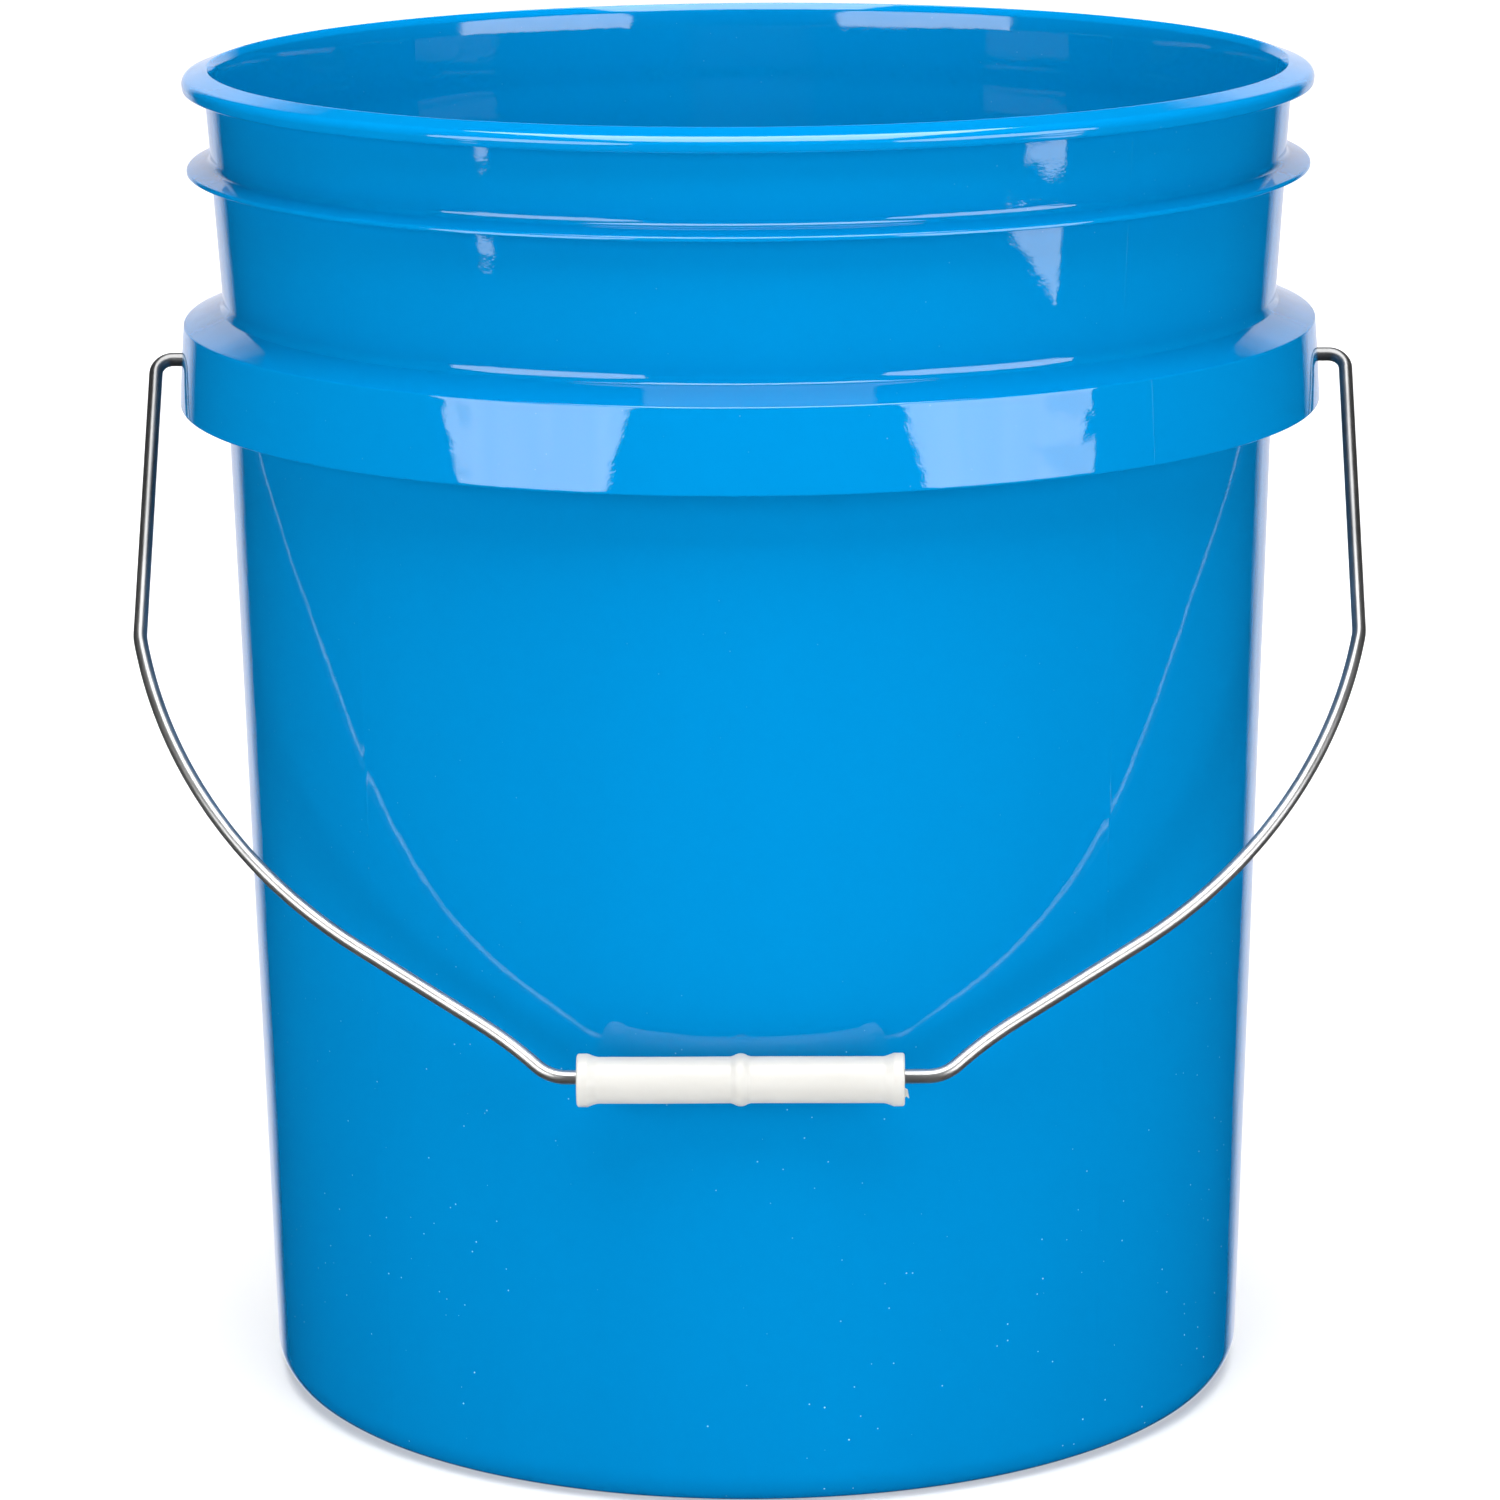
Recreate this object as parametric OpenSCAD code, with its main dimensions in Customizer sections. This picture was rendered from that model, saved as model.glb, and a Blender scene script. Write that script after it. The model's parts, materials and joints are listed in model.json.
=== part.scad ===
// Wash bucket: a moulded plastic pail with a hinged wire bail and a loose tubular grip.
// +Z is up and the pail stands on z = 0, centred on the Z axis. The bail hinges on an
// axis along X and hangs down the front of the pail, towards -Y. Millimetres.

/* [Pail] */
// Height from the floor to the crest of the rim
pail_h = 365; // [355:1:375]
// Outer radius of the wall where it would reach the floor
base_r = 134.8; // [132:0.1:136]
// Outward lean of the wall below the ledge, degrees
wall_lean = 1.57; // [1.4:0.01:1.7]
// Outward lean of the neck above the ledge, degrees
neck_lean = 3.54; // [3.2:0.01:3.8]
// Thickness of the wall and the floor
wall_t = 2.3; // [2:0.1:2.6]
// Outside radius of the corner between the wall and the floor
corner_r = 9; // [7:0.5:11]
// Height of the recess under the floor, inside the foot ring
foot_h = 2.4; // [1:0.1:3]

/* [Skirt, collar and rim] */
// Height at which the ledge of the skirt leaves the wall
ledge_z = 300.2; // [298:0.1:302]
// Height of the bottom edge of the skirt
skirt_z = 273.8; // [272:0.1:275]
// Outer radius of the skirt at its bottom edge
skirt_r = 155.25; // [154.8:0.05:156]
// Thickness of the skirt
skirt_t = 2.2; // [1.8:0.1:2.4]
// Number of ribs between the skirt and the wall
rib_count = 24; // [12:4:24]
// Height of the flat underside of the collar
collar_z = 337.2; // [335:0.1:339]
// Outer radius of the collar
collar_r = 152; // [151:0.1:153]
// Outer radius of the rim bead
rim_r = 152.8; // [152:0.1:154]
// Depth of the rim bead
rim_h = 5.8; // [5:0.1:7]

/* [Bail] */
// Diameter of the wire
wire_d = 3.7; // [3.5:0.1:3.8]
// Height of the hinge axis
hinge_z = 283.7; // [283:0.1:285]
// Distance from the middle of the pail to each leg of the bail
leg_x = 162.5; // [162:0.1:164]
// Length of the straight leg below the hinge
leg_l = 86.6; // [84:0.1:89]
// Distance from the hinge axis to the straight run that holds the grip
bail_l = 218.8; // [218:0.1:220]
// Angle between the hanging bail and the vertical, degrees
hang = 42; // [42:0.1:43]

/* [Grip] */
// Length of the grip
grip_l = 84; // [80:1:86]
// Diameter of the grip between its ends
grip_d = 12; // [11:0.1:12.4]
// Diameter of the flared ends
flare_d = 13.7; // [13:0.1:14]
// Diameter of the bore
bore_d = 5.6; // [5.2:0.1:6.4]

/* [Hidden] */
$fn = 96;

// Pail
ledge_drop = 4.0;       // fall of the ledge from the wall to the edge of the skirt
ledge_round = 0.6;      // radius of the skirt's top edge
edge_round = 0.3;       // radius of the skirt's bottom edge
skirt_flare = 1.35;     // how much wider the skirt is at the bottom
root_round = 1.8;       // radius where the ledge meets the neck
root_sink = 0.7;        // how far that rounding reaches below the ledge's root
corner_drop = 2;        // how far the skirt's inside corner lies below its top
foot_in = 116;          // inner radius of the foot ring
foot_slope = 3;         // width of the sloping side of the recess
collar_root = 2.8;      // thickness of the collar at the wall
collar_round = 2;       // radius above the root of the collar
collar_sink = 0.2;      // how far that rounding reaches below the root
collar_lip = 0.3;       // radius of the collar's lower edge
nose_round = 0.7;       // radius of the collar's upper edge
nose_up = 0.6;          // height of that rounding's centre above the underside
rim_face = 1.8;         // height of the rim's outer face above its bottom edge
rim_under = 0.6;        // rise of the rim's underside towards the wall
rim_lip = 0.8;          // radius of the rim's lower edge
lip_in = 1;             // distance of that rounding's centre inside the outer face
rim_round = 2.4;        // radius of the rim's outer shoulder
crest_round = 0.5;      // radius of the rim's inner edge
mouth_lead = 7;         // depth of the lead-in under the crest
mouth_flare = 1.7;      // widening of the mouth over that depth
rib_t = 1.6;            // thickness of a rib
rib_up = 2.4;           // how far the ribs stop short of the skirt's bottom edge
rib_land = 1;           // width of the rib's flat top beside the wall
bite = 0.6;             // how far a rib or a boss runs into the wall that it joins
boss_r = 5.6;           // outer radius of the boss around each bail hole
boss_in = 1.2;          // how far the boss stands inside the skirt's narrow top
hole_play = 0.08;       // running clearance around the wire in its hole
hole_l = 12;            // length of the cut for a bail hole
hole_back = 1;          // how far that cut starts inside the boss
gate_r = 6;             // radius of the moulding gate's disc under the floor
gate_h = 0.8;           // depth of that disc

// Bail
hook_bend = 3.2;        // bend radius of the retaining hook
hook_l = 6;             // reach of the hook's tip from the hinge axis
hook_x = 146.6;         // distance of the hook from the middle of the pail
leg_bend = 4.5;         // bend radius from the hinge pin to the leg
kink_turn = 12;         // turn at the foot of the leg, degrees
kink_r = 14;            // radius of that turn
sweep_r = 149;          // radius of the long curve
slant = 34.5;           // slope of the straight stretch above the grip, degrees
dip = 44;               // slope of the wire where it reaches the grip's run, degrees
dip_r = 120;            // radius of the slow bend between those two slopes
grip_bend = 11;         // bend radius at each end of the grip's run
tail = 1;               // how far a bent stretch runs into the round pin
sides = 12;             // sides of the bent wire
even_area = 1.023;      // widens a 12-sided wire to the area of a round one
end_ring = 0.8;         // narrows the ring that ends inside a pin

// Grip
flare_l = 2.6;          // length of the full diameter at each end
taper_l = 3.2;          // length of the taper from there to the body
bead_l = 4.4;           // length of the middle bead
bead_d = 13.6;          // diameter of the middle bead
grip_round = 0.7;       // radius of the outer edges of the ends
bead_side = 1.1;        // length of each sloping side of the bead
rest_gap = 0.15;        // gap between the wire and the bore that hangs on it
grip_sag = (bore_d - wire_d) / 2 - rest_gap;   // how far the loose grip hangs under the wire
grip_shift = -1.6;      // where the loose grip has come to rest along the wire

function wall_r(z) = base_r + z * tan(wall_lean);
function neck_r(z) = wall_r(ledge_z) + (z - ledge_z) * tan(neck_lean);
function arc(c, r, a0, a1, n) = [for (i = [0:n]) let (a = a0 + (a1 - a0) * i / n) c + r * [cos(a), sin(a)]];
function but_first(line) = [for (i = [1:len(line) - 1]) line[i]];

skirt_top = ledge_z - ledge_drop;
skirt_top_r = skirt_r - skirt_flare;
rim_z = pail_h - rim_h;
crest_r = neck_r(pail_h) - wall_t + mouth_flare;
inner_t = wall_t / cos(wall_lean);
floor_z = foot_h + wall_t;
inner_corner = corner_r - wall_t;

// Outline of the underside, the corner and the wall up to the ledge
foot_line = [
    [0, foot_h],
    [foot_in - foot_slope, foot_h],
    [foot_in, 0],
];
corner_x = base_r - corner_r * (1 - sin(wall_lean)) / cos(wall_lean);
corner_line = arc([corner_x, corner_r], corner_r, -90, -wall_lean, 8);

// Outline of the skirt: up the wall behind it, out under the ledge, down and round
ledge_lean = atan(ledge_drop / (skirt_top_r - wall_r(ledge_z)));
under_z = ledge_z - skirt_t / cos(ledge_lean);
skirt_line = concat(
    [[wall_r(under_z), under_z]],
    [[skirt_top_r - skirt_t, skirt_top - corner_drop]],
    [[skirt_r - skirt_t, skirt_z]],
    arc([skirt_r - edge_round, skirt_z + edge_round], edge_round, -90, 0, 3),
    arc([skirt_top_r - ledge_round, skirt_top - ledge_round], ledge_round, 0, 90 - ledge_lean, 4)
);

// Outline of the neck and the collar
collar_top = collar_z + collar_root;
root_c = [neck_r(ledge_z) + root_round, ledge_z + root_round - root_sink];
collar_c = [neck_r(collar_top) + collar_round, collar_top + collar_round - collar_sink];
neck_line = concat(
    arc(root_c, root_round, 270 - ledge_lean, 180, 4),
    [[neck_r(collar_z), collar_z]],
    arc([collar_r - collar_lip, collar_z + collar_lip], collar_lip, -90, 0, 3),
    arc([collar_r - nose_round, collar_z + nose_up], nose_round, 20, 80, 4),
    arc(collar_c, collar_round, 265, 180, 4)
);

// Outline of the rim bead and the inside
rim_line = concat(
    [[neck_r(rim_z + rim_under), rim_z + rim_under]],
    arc([rim_r - lip_in, rim_z + rim_lip], rim_lip, -90, -20, 3),
    arc([rim_r - rim_round, rim_z + rim_face], rim_round, 0, 75, 6),
    arc([crest_r + crest_round, pail_h - crest_round], crest_round, 80, 170, 4)
);
inner_c = [wall_r(floor_z + inner_corner) - inner_t - inner_corner, floor_z + inner_corner];
inner_line = concat(
    [[neck_r(pail_h - mouth_lead) - wall_t, pail_h - mouth_lead]],
    [[wall_r(ledge_z) - inner_t, ledge_z]],
    arc(inner_c, inner_corner, 0, -90, 8),
    [[0, floor_z]]
);

// One moulding: wall, floor, rim, collar and skirt in one turned section
module shell() {
    rotate_extrude($fn = 180)
        polygon(concat(foot_line, corner_line, skirt_line, neck_line, rim_line, inner_line));
}

// A radial rib between the wall and the skirt
module rib() {
    foot = skirt_z + rib_up;
    rotate([90, 0, 0])
        linear_extrude(rib_t, center = true)
            polygon([
                [wall_r(foot) - bite, foot],
                [skirt_r - skirt_t + bite, foot],
                [skirt_top_r - skirt_t + bite, skirt_top - skirt_t],
                [wall_r(under_z) + rib_land, under_z],
                [wall_r(under_z) - bite, under_z],
            ]);
}

// The boss behind the skirt that the wire turns in
module ear_boss() {
    translate([skirt_top_r - skirt_t - boss_in, 0, hinge_z])
        rotate([0, 90, 0])
            cylinder(r = boss_r, h = boss_in + bite);
}

module pail() {
    color([0, 0.55, 0.88])
        difference() {
            union() {
                shell();
                for (i = [0:rib_count - 1])
                    rotate([0, 0, (i + 0.5) * 360 / rib_count]) rib();
                for (side = [0, 180])
                    rotate([0, 0, side]) ear_boss();
                translate([0, 0, foot_h - gate_h])
                    cylinder(r = gate_r, h = gate_h + bite);
            }
            for (side = [0, 180])
                rotate([0, 0, side])
                    translate([skirt_top_r - skirt_t - boss_in - hole_back, 0, hinge_z])
                        rotate([0, 90, 0])
                            cylinder(d = wire_d + 2 * hole_play, h = hole_l);
        }
}

// Half of the bail in its own plane, [x, z]: x to the side, z up, hinge axis at z = 0
kink_c = [leg_x - kink_r, -leg_l];
kink_end = kink_c + kink_r * [cos(kink_turn), -sin(kink_turn)];
sweep_c = kink_end - sweep_r * [cos(kink_turn), -sin(kink_turn)];
sweep_end = sweep_c + sweep_r * [sin(slant), -cos(slant)];
dip_z = -bail_l + grip_bend * (1 - cos(dip)) + dip_r * (cos(slant) - cos(dip));
slant_end = sweep_end + (sweep_end.y - dip_z) / sin(slant) * [-cos(slant), -sin(slant)];
dip_c = slant_end + dip_r * [sin(slant), -cos(slant)];
dip_end = dip_c - dip_r * [sin(dip), -cos(dip)];
turn_c = dip_end - grip_bend * [sin(dip), -cos(dip)];
pin_in = hook_x + hook_bend;
pin_out = leg_x - leg_bend;
half_line = concat(
    [[pin_out - tail, 0]],
    arc([pin_out, -leg_bend], leg_bend, 80, 0, 7),
    arc(kink_c, kink_r, 0, -kink_turn, 2),
    but_first(arc(sweep_c, sweep_r, -kink_turn, slant - 90, 20)),
    arc(dip_c, dip_r, slant + 90, dip + 90, 3),
    but_first(arc(turn_c, grip_bend, dip - 90, -90, 5))
);
hook_line = concat(
    [[pin_in + tail, 0]],
    arc([pin_in, hook_bend], hook_bend, 260, 180, 6),
    [[hook_x, hook_l]]
);

function backwards(line) = [for (i = [len(line) - 1:-1:0]) [-line[i].x, line[i].y]];
function along(line, i) =
    let (d = line[min(i + 1, len(line) - 1)] - line[max(i - 1, 0)]) d / norm(d);

// A tube along a line in the bail's plane. Its first and, if both is true, its last ring is
// narrower, because it ends inside the round pin that it joins.
module tube(line, both) {
    last = len(line) - 1;
    r = wire_d / 2 * even_area;
    points = [
        for (i = [0:last], k = [0:sides - 1])
            let (
                t = along(line, i),
                a = 360 * (k + 0.5) / sides,
                s = r * (i == 0 || (both && i == last) ? end_ring : 1)
            )
            [line[i].x - t.y * s * cos(a), s * sin(a), line[i].y + t.x * s * cos(a)]
    ];
    rings = [
        for (i = [0:last - 1], k = [0:sides - 1])
            let (n = (k + 1) % sides)
            [i * sides + k, i * sides + n, (i + 1) * sides + n, (i + 1) * sides + k]
    ];
    ends = [
        [for (k = [sides - 1:-1:0]) k],
        [for (k = [0:sides - 1]) last * sides + k],
    ];
    polyhedron(points, concat(rings, ends));
}

// The round pin that turns in the skirt, and the hook that keeps it there
module hinge_pin() {
    translate([pin_in, 0, 0])
        rotate([0, 90, 0])
            cylinder(d = wire_d, h = pin_out - pin_in);
    tube(hook_line, false);
}

module bail() {
    color([0.72, 0.74, 0.75])
        translate([0, 0, hinge_z])
            rotate([-hang, 0, 0]) {
                tube(concat(half_line, backwards(half_line)), true);
                hinge_pin();
                mirror([1, 0, 0]) hinge_pin();
            }
}

// Half of the grip's outline from its middle to one end: [radius, distance]
grip_line = concat(
    [[bore_d / 2, 0], [bead_d / 2, 0]],
    [[bead_d / 2, bead_l / 2 - bead_side], [grip_d / 2, bead_l / 2]],
    [[grip_d / 2, grip_l / 2 - flare_l - taper_l]],
    [[(grip_d + flare_d) / 4, grip_l / 2 - flare_l - taper_l / 2]],
    [[flare_d / 2, grip_l / 2 - flare_l]],
    arc([flare_d / 2 - grip_round, grip_l / 2 - grip_round], grip_round, 0, 90, 4),
    [[bore_d / 2, grip_l / 2]]
);
mirrored_line = [for (i = [len(grip_line) - 1:-1:2]) [grip_line[i].x, -grip_line[i].y]];

module grip() {
    color([0.95, 0.95, 0.93])
        translate([grip_shift, -bail_l * sin(hang), hinge_z - bail_l * cos(hang) - grip_sag])
            rotate([0, 90, 0])
                rotate_extrude()
                    polygon(concat(
                        [for (i = [2:len(grip_line) - 1]) grip_line[i]],
                        mirrored_line
                    ));
}

pail();
bail();
grip();
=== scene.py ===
"""The wash bucket's looks: a glossy moulded pail, its galvanised wire bail and its white grip,
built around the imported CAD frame. Shapes are in millimetres and degrees until they become vertices."""

import json
import math

import bmesh
import bpy
from mathutils import Matrix, Vector


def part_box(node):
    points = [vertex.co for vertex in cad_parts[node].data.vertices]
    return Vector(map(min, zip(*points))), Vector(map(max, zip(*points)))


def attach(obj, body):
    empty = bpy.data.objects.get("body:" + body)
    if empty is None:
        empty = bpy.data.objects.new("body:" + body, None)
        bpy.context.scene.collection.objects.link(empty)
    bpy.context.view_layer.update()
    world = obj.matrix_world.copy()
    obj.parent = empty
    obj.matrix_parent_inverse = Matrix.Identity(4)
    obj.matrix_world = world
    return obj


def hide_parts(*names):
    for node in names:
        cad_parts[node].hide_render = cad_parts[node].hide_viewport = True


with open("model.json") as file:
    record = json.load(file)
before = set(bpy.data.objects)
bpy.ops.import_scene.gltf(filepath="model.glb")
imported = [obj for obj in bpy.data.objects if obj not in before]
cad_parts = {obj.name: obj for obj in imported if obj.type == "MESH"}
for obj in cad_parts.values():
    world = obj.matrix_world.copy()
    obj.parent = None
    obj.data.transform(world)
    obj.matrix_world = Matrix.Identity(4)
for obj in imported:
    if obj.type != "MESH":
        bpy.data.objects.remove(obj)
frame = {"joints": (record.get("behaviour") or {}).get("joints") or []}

MM = 0.001
FULL = 2 * math.pi
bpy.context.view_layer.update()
pail_lo, pail_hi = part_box("pail")
bail_lo, bail_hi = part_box("bail")
grip_lo, grip_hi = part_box("grip")
hinge = next(j for j in frame["joints"] if j["name"] == "bail_hinge")
spin = next(j for j in frame["joints"] if j["name"] == "grip_spin")

# ---------------------------------------------------------------- the pail's sizes
PAIL_H = pail_hi.z / MM
SKIRT_R = pail_hi.x / MM
WALL_T = 2.3
BASE_R = 134.8                    # the radius that the wall's outer slope has at the ground
CORNER_R = 9.0                    # round between wall and floor
INNER_CORNER_R = 7.0
WALL_LEAN = math.radians(1.57)
NECK_LEAN = math.radians(3.54)
NECK_LEAN_DEG = math.degrees(NECK_LEAN)
FOOT_H = 2.4                      # depth of the recess under the floor
FOOT_IN = 116.0                   # inner radius of the foot ring
FOOT_SLOPE = 3.0
FOOT_LIP = 0.5
FOOT_ROUND = 0.6

LEDGE_Z = 300.2                   # where the neck meets the ledge
LEDGE_DROP = 4.0                  # fall of the ledge to its outer edge
LEDGE_ROUND = 0.6
SKIRT_Z = 273.8                   # lower edge of the skirt
SKIRT_T = 2.2
SKIRT_FLARE = 1.35
SKIRT_TOP = LEDGE_Z - LEDGE_DROP
SKIRT_TOP_R = SKIRT_R - SKIRT_FLARE
SKIRT_TURN = 3                    # slope of the skirt's face at its edges
LIP_ROUND = 0.3
LIP_IN_ROUND = 0.25
POCKET_ROUND = 0.8                # rounds of the hollow behind the skirt
POCKET_DROP = 0.9 * SKIRT_T
BOW = 0.10                        # bulge of the skirt's face
CREASE_R = 0.5                    # crease at the foot of the neck's root
ROOT_R = 4.6                      # hollow round between neck and ledge
ROOT_END = 30.0
ROOT_UP = 2
ROOT_EASE = 4

COLLAR_Z = 337.2                  # lower face of the collar
COLLAR_R = 152.0
COLLAR_ROOT = 2.8                 # thickness of the collar at the neck
COLLAR_UNDER_ROUND = 0.5
COLLAR_LOW_ROUND = 0.3
COLLAR_TOP_ROUND = 0.75
COLLAR_TOP_UP = 0.55
COLLAR_FILLET = 1.8
COLLAR_FILLET_UP = 1.6
SINK = 0.16                       # depth of the sink ring inside the neck, behind the collar
SINK_Z = 342.0
SINK_W = 4.5
SINK_TOP = 353
SINK_FOOT = 326

RIM_R = 152.8
RIM_H = 5.8
RIM_Z = PAIL_H - RIM_H
RIM_UNDER_ROUND = 0.6
RIM_LOW_ROUND = 0.9
RIM_LOW_IN = 1.0
RIM_TOP_ROUND = 2.4
RIM_TOP_UP = 1.9
CREST_ROUND = 0.5
MOUTH_FLARE = 1.0                 # widening from the neck's line to the crest
MOUTH_LEAD = 6.5                  # depth of the bell-shaped mouth
BELL_R = 38.0
BELL_TURN = 11.0

RIB_COUNT = 24                    # webs behind the skirt
RIB_T = 1.6
RIB_UP = 2.4                      # gap between the ribs and the skirt's lower edge
RIB_DROP = 1.07 * SKIRT_T         # the ledge's thickness where a rib meets it
BOSS_R = 5.6                      # bosses round the bail's holes
BOSS_IN = 1.2
BOSS_BITE = 2.4
BITE = 0.6                        # how far a web runs into its neighbours
EAR_IN = SKIRT_R - SKIRT_FLARE - SKIRT_T - BOSS_IN
DRILL_IN = 1                      # run of the hole's cutter past the boss and past the skirt
DRILL_OUT = 3

TURNS = 320                       # facets round the pail
STEP = 6.0                        # longest gap between rings of vertices
CALM_R = 60.0                     # the floor's middle stays flat within this radius
SKIN = 0.6                        # what lies this close to the wall's outer radius counts as outside
PARTING = [math.radians(a) for a in (224.5, 312.5, 44.5, 132.5)]
PARTING_H = 0.04                  # height of the mould's parting lines
PARTING_TURN = 0.16 / SKIRT_R     # half of their width, in radians
# The unevenness of a cooled moulding: height, waves round the pail, millimetres up per radian, phase.
RIPPLES = [(0.10, 2, math.inf, 0.6), (0.05, 5, 61.0, 0.0), (0.030, 11, 17.0, 1.3), (0.022, 23, -29.0, 0.0)]

# ---------------------------------------------------------------- the bail's sizes
WIRE_R = 1.85
WIRE_SIDES = 32
WIRE_STEP = 4.0
HOLE_PLAY = 0.08
HINGE_Z = hinge["pos_m"][2] / MM
HANG = math.radians(42)           # how far the resting bail leans forward
HOOK_X = 146.6                    # the hooks behind the skirt
HOOK_BEND = 3.2
HOOK_L = 6.0
TIP_SHRINK = 0.55                 # the cut ends are a little tapered
LEG_X = bail_hi.x / MM - WIRE_R
LEG_L = 86.6
LEG_BEND = 4.5
KINK_TURN = math.radians(12)      # the turn at the foot of each leg
KINK_R = 14.0
SWEEP_R = 149.0                   # the long curve
SWEEP_LEAD = 1
BAIL_L = 218.8                    # from the hinge down to the grip's run
SLANT = math.radians(34.5)        # slope after the long curve
DIP = math.radians(44)            # slope where the wire reaches the grip's run
DIP_R = 120.0
GRIP_BEND = 11.0
WIRE_EDGE = 50                    # a sharper turn than this between two faces is a crisp edge

# ---------------------------------------------------------------- the grip's sizes
GRIP_L = (grip_hi.x - grip_lo.x) / MM
GRIP_D = 12.0
GRIP_SIDES = 96
GRIP_STEP = 2.0
GRIP_ROUND = 0.7
GRIP_EDGE = 50
BORE_D = 5.6
BORE_ROUND = 0.4
MIDDLE = 0.2                      # the bore's first ring lies this far from the middle
FLARE_D = 13.7                    # the flared ends
FLARE_L = 2.6
FLARE_ROUND = 0.8
TAPER_L = 3.2
TAPER_ROUND = 4.0
BEAD_D = 13.6                     # the bead in the middle
BEAD_L = 4.4
BEAD_R = 3.0
BEAD_ROUND = 0.8
BEAD_ROUND_OUT = 0.45
SHELL_R = 5                       # what lies beyond this radius is the grip's outside
SEAM_H = 1.4 * PARTING_H
SEAM_W = 0.16
SEAM_STEPS = (0.008, 0.02, 0.035, 0.055)
WARP_H = 0.03                     # the grip's slight unevenness
WARP_WAVES = 3
WARP_PITCH = 9.0
FLAKE = [(-0.8, -0.9), (0.7, -1.6), (1.1, -3.9), (0.4, -3.3), (-0.8, -4.3)]
FLAKE_FRONT = -4.2
FLAKE_BACK = -3.6

# ---------------------------------------------------------------- colours
BLUE = [(0.3, (0.0, 0.153, 0.380, 1)), (0.7, (0.0, 0.161, 0.396, 1))]
# A lighter copy of the blue for the inside: painted light that brightens the interior.
BLUE_INSIDE_PAINTED_LIGHT = [(0.3, (0.0, 0.176, 0.430, 1)), (0.7, (0.0, 0.184, 0.448, 1))]
DUST = (0.42, 0.66, 0.84, 1)
ZINC = [(0.25, (0.26, 0.26, 0.26, 1)), (0.5, (0.34, 0.34, 0.34, 1)), (0.8, (0.44, 0.44, 0.44, 1))]
WHITE = [(0.3, (0.430, 0.423, 0.402, 1)), (0.7, (0.452, 0.446, 0.425, 1))]
FLOOR = (0.55, 0.55, 0.55, 1)
SKY = (0.90, 0.90, 1.0, 1)

# ---------------------------------------------------------------- the studio, in metres
AIM = Vector((0, 0, 0.2))         # the point that the softboxes face
BOX_AWAY = 1.7
SIDE_BOX = (1.28, 0.92)           # width and height of the softboxes beside the camera
SIDE_GLOW = 5.8
SIDE_CUT = 0.24
TOP_BOX = (1.45, 2.40)
TOP_GLOW = 8.0
TOP_CUT = 0.10
CARD_AWAY = 0.45                  # small lit cards low beside the camera
CARD_GLOW = 4.5
FLOOR_HALF = 6.0
WALL_AWAY = 5.9
WALL_H = 5.0
WALL_SIDES = 96
DARK = 0.004
CAMERA_AT = Vector((0.0235, -1.6544, 0.5538))
CAMERA_YAW = math.radians(-0.84)
CAMERA_PITCH = math.radians(12.95)
CAMERA_ROLL = math.radians(-0.41)
LENS = 146.8
SENSOR = 36


def wall_r(z):
    """Outer radius of the wall."""
    return BASE_R + z * math.tan(WALL_LEAN)


def neck_r(z):
    """Outer radius of the neck."""
    return wall_r(LEDGE_Z) + (z - LEDGE_Z) * math.tan(NECK_LEAN)


LEDGE_FALL = math.degrees(math.atan(LEDGE_DROP / (SKIRT_TOP_R - wall_r(LEDGE_Z))))


# ---------------------------------------------------------------- outlines
def arc(cx, cz, r, start, end, steps):
    """Points on an arc, angles in degrees."""
    turn = [math.radians(start + (end - start) * i / steps) for i in range(steps + 1)]
    return [(cx + r * math.cos(a), cz + r * math.sin(a)) for a in turn]


def line(p, q, step, guard=0.5):
    """Points strictly between p and q, every step, with a guard point beside each end."""
    length = math.dist(p, q)
    if length < 4 * guard:
        return []
    inner = length - 2 * guard
    count = max(1, round(inner / step))
    along = [guard + inner * i / count for i in range(count + 1)]
    return [(p[0] + (q[0] - p[0]) * s / length, p[1] + (q[1] - p[1]) * s / length) for s in along]


def joined(runs, step):
    """One outline from several runs of points, with the straight gaps between them filled."""
    out = list(runs[0])
    for run in runs[1:]:
        out += line(out[-1], run[0], step) + list(run)
    return out


def foot_runs():
    """The recess under the floor, the foot ring and the round up to the wall."""
    corner_x = BASE_R - CORNER_R * (1 - math.sin(WALL_LEAN)) / math.cos(WALL_LEAN)
    return [
        [(0, FOOT_H)],
        arc(FOOT_IN - FOOT_SLOPE, FOOT_H - FOOT_ROUND, FOOT_ROUND, 90, 50, 3),
        arc(FOOT_IN + FOOT_LIP, FOOT_ROUND, FOOT_ROUND, 230, 270, 3),
        arc(corner_x, CORNER_R, CORNER_R, -90, -math.degrees(WALL_LEAN), 14),
    ]


def skirt_runs():
    """Up behind the skirt, down its inner face and up its outer one."""
    under_z = LEDGE_Z - SKIRT_T / math.cos(math.radians(LEDGE_FALL))
    pocket_x = SKIRT_TOP_R - SKIRT_T - POCKET_ROUND
    pocket_z = SKIRT_TOP - POCKET_DROP - POCKET_ROUND
    return [
        arc(wall_r(under_z) + POCKET_ROUND, under_z - POCKET_ROUND, POCKET_ROUND, 180, 110, 4),
        arc(pocket_x, pocket_z, POCKET_ROUND, 70, 4, 4),
        arc(SKIRT_R - SKIRT_T + LIP_IN_ROUND, SKIRT_Z + LIP_IN_ROUND, LIP_IN_ROUND, 184, 270, 3),
        arc(SKIRT_R - LIP_ROUND, SKIRT_Z + LIP_ROUND, LIP_ROUND, -90, SKIRT_TURN, 4),
        arc(SKIRT_TOP_R - LEDGE_ROUND, SKIRT_TOP - LEDGE_ROUND, LEDGE_ROUND, SKIRT_TURN, 90 - LEDGE_FALL, 6),
    ]


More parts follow.
